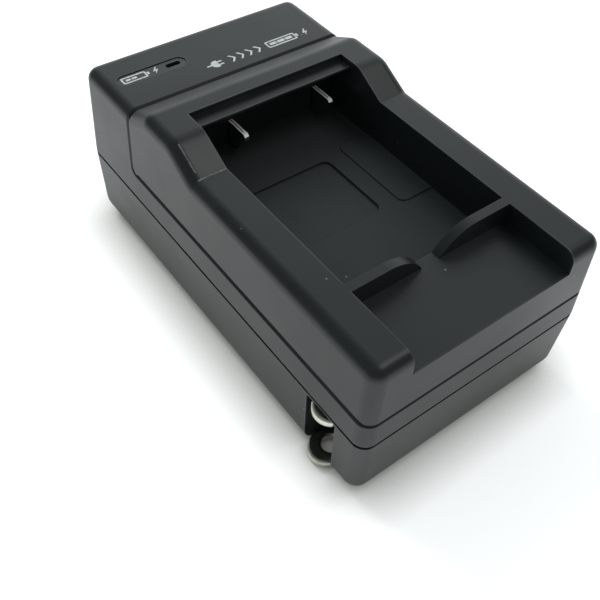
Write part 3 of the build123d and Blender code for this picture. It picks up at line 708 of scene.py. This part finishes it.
class CHARGER_OT_dress_metal(bpy.types.Operator):
    """Finish the battery contacts, the plug blades, their pins and the leaf springs"""
    bl_idname = "charger.dress_metal"
    bl_label = "Dress the metal"

    def execute(self, context):
        colours = context.scene.charger_colours
        dress(
            nickel_plate(colours), "plug_blade_upper", "plug_blade_lower", "pivot_pin_front",
            "pivot_pin_rear")
        dress(sheared_plate(colours), "contact_positive", "contact_negative")
        dress(rolled_brass(colours), "supply_spring_front", "supply_spring_rear")
        return {"FINISHED"}


class CHARGER_OT_dress_supply(bpy.types.Operator):
    """Finish the circuit board and the parts on it"""
    bl_idname = "charger.dress_supply"
    bl_label = "Dress the supply"

    def execute(self, context):
        colours = context.scene.charger_colours
        tin = colours.tin
        slack = COAT_SLACK * MM
        dress(paper_laminate(colours), "circuit_board")
        dress(sintered_ferrite(colours), "transformer_core")
        dress(polyester_tape(colours), "transformer_winding")

        low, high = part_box("input_capacitor")
        stripe = ("Y", (low.y + high.y) / 2 + LYING_STRIPE * MM, LYING_STRIPE_WIDTH * MM)
        sleeve = leaded_part(
            "shrink sleeve, lying can", colours.sleeve, tin, "X", low.x - slack, low.x + LYING_SLEEVE * MM,
            [stripe], colours.stripe)
        dress(sleeve, "input_capacitor")

        low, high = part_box("output_capacitor")
        stripe = ("Y", (low.y + high.y) / 2 + STANDING_STRIPE * MM, STANDING_STRIPE_WIDTH * MM)
        sleeve = leaded_part(
            "shrink sleeve, standing can", colours.sleeve, tin, "Z", low.z - slack, high.z - BARE_TOP * MM,
            [stripe], colours.stripe)
        dress(sleeve, "output_capacitor")

        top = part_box("safety_capacitor")[1].z
        coat = leaded_part(
            "epoxy dip, ceramic disc", colours.dip, tin, "Z", top - DISC_COAT * MM, top + slack)
        dress(coat, "safety_capacitor")

        low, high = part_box("fuse_resistor")
        middle = (low.y + high.y) / 2
        half = FUSE_COAT / 2 * MM
        bands = [("Y", middle + offset * MM, FUSE_BAND_WIDTH * MM) for offset in FUSE_BANDS]
        lacquer = leaded_part(
            "fired lacquer, fusible resistor", colours.lacquer, tin, "Y", middle - half, middle + half,
            bands, colours.epoxy)
        dress(lacquer, "fuse_resistor")

        low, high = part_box("rectifier_diodes")
        middle = (low.y + high.y) / 2
        half = DIODE_BODY / 2 * MM
        band = ("Y", middle + DIODE_BAND * MM, DIODE_BAND_WIDTH * MM)
        epoxy = leaded_part(
            "moulded epoxy, diode", colours.epoxy, tin, "Y", middle - half, middle + half, [band],
            colours.stripe)
        dress(epoxy, "rectifier_diodes")

        low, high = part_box("control_chip")
        middle = (low.y + high.y) / 2
        half = CHIP_BODY / 2 * MM
        epoxy = leaded_part(
            "moulded epoxy, chip", colours.epoxy, tin, "Y", middle - half, middle + half, roughness=0.5)
        dress(epoxy, "control_chip")

        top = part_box("indicator_led")[1].z
        lens = leaded_part(
            "cast epoxy lens", colours.lens, tin, "Z", top - LENS_HEIGHT * MM, top + slack, roughness=0.14)
        dress(lens, "indicator_led")
        return {"FINISHED"}


class CHARGER_OT_print_window(bpy.types.Operator):
    """Print the charging sign on the lamp window"""
    bl_idname = "charger.print_window"
    bl_label = "Print the window sign"

    def execute(self, context):
        marks = context.scene.charger_marks
        low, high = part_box("indicator_window")
        height = marks.window_height
        battery_width = 2.6 * height
        bolt_start = 3.2 * height
        shape = bmesh.new()
        add_battery_sign(shape, 0, battery_width, height, marks.line, 2)
        add_bolt_sign(shape, bolt_start, height)
        corner = (marks.window_start, (low.y + high.y) / 2 - height / 2, high.z)
        ink = printed_ink(context.scene.charger_colours)
        lay_ink(shape, "window_sign", corner, marks.ink_thickness, ink)
        return {"FINISHED"}


class CHARGER_OT_print_head(bpy.types.Operator):
    """Print the row of plain signs on the head: plug, arrows, battery and bolt"""
    bl_idname = "charger.print_head"
    bl_label = "Print the head signs"

    def execute(self, context):
        marks = context.scene.charger_marks
        height = marks.head_height
        arrow_count = 4
        arrow_start = 2.35 * height
        arrow_pitch = 0.9 * height
        battery_start = 6.3 * height
        battery_width = 3.2 * height
        bolt_start = 10.2 * height
        shape = bmesh.new()
        add_plug_sign(shape, 0, height, marks.line)
        for index in range(arrow_count):
            add_chevron_sign(shape, arrow_start + index * arrow_pitch, height, marks.line)
        add_battery_sign(shape, battery_start, battery_width, height, marks.line, 3)
        add_bolt_sign(shape, bolt_start, height)
        corner = (marks.head_start, marks.head_place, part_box("upper_case")[1].z)
        ink = printed_ink(context.scene.charger_colours)
        lay_ink(shape, "head_signs", corner, marks.ink_thickness, ink)
        return {"FINISHED"}


class CHARGER_OT_build_stage(bpy.types.Operator):
    """Make the camera, the soft light and the pale floor"""
    bl_idname = "charger.build_stage"
    bl_label = "Build the stage"

    def execute(self, context):
        scene = context.scene
        stage = scene.charger_stage
        add_camera(scene, stage)
        add_floor(scene, stage)
        # The lamp behind gives the shadow in front, and doesn't show in mirrors.
        back = add_lamp(scene, "back lamp", stage.back_place, stage.back_lamp, stage.lamp_width)
        back.visible_glossy = False
        add_lamp(scene, "top lamp", stage.top_place, stage.top_lamp, stage.lamp_width)
        light_world(scene, stage)
        scene.view_settings.view_transform = "Standard"
        return {"FINISHED"}


class CHARGER_PT_panel(bpy.types.Panel):
    """Sidebar panel with the charger's steps and its settings"""
    bl_idname = "CHARGER_PT_panel"
    bl_label = "Battery charger"
    bl_space_type = "VIEW_3D"
    bl_region_type = "UI"
    bl_category = "Charger"

    def draw(self, context):
        for step in STEPS:
            self.layout.operator(step.bl_idname)
        for name in SETTINGS:
            group = getattr(context.scene, name)
            box = self.layout.box()
            for prop in group.__annotations__:
                box.prop(group, prop)


STEPS = (
    CHARGER_OT_build_stage, CHARGER_OT_dress_case, CHARGER_OT_dress_metal, CHARGER_OT_dress_supply,
    CHARGER_OT_print_window, CHARGER_OT_print_head)
SETTINGS = {
    "charger_colours": ChargerColours, "charger_marks": ChargerMarks, "charger_stage": ChargerStage}


def register():
    """Register the charger's settings, steps and panel."""
    for item in (*SETTINGS.values(), *STEPS, CHARGER_PT_panel):
        bpy.utils.register_class(item)
    for name, group in SETTINGS.items():
        setattr(bpy.types.Scene, name, bpy.props.PointerProperty(type=group))


def unregister():
    """Take the charger's settings, steps and panel out again."""
    for name in SETTINGS:
        delattr(bpy.types.Scene, name)
    for item in (CHARGER_PT_panel, *STEPS, *SETTINGS.values()):
        bpy.utils.unregister_class(item)


def main():
    """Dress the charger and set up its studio."""
    register()
    bpy.ops.charger.build_stage()
    bpy.ops.charger.dress_case()
    bpy.ops.charger.dress_metal()
    bpy.ops.charger.dress_supply()
    bpy.ops.charger.print_window()
    bpy.ops.charger.print_head()


if __name__ == "__main__":
    main()
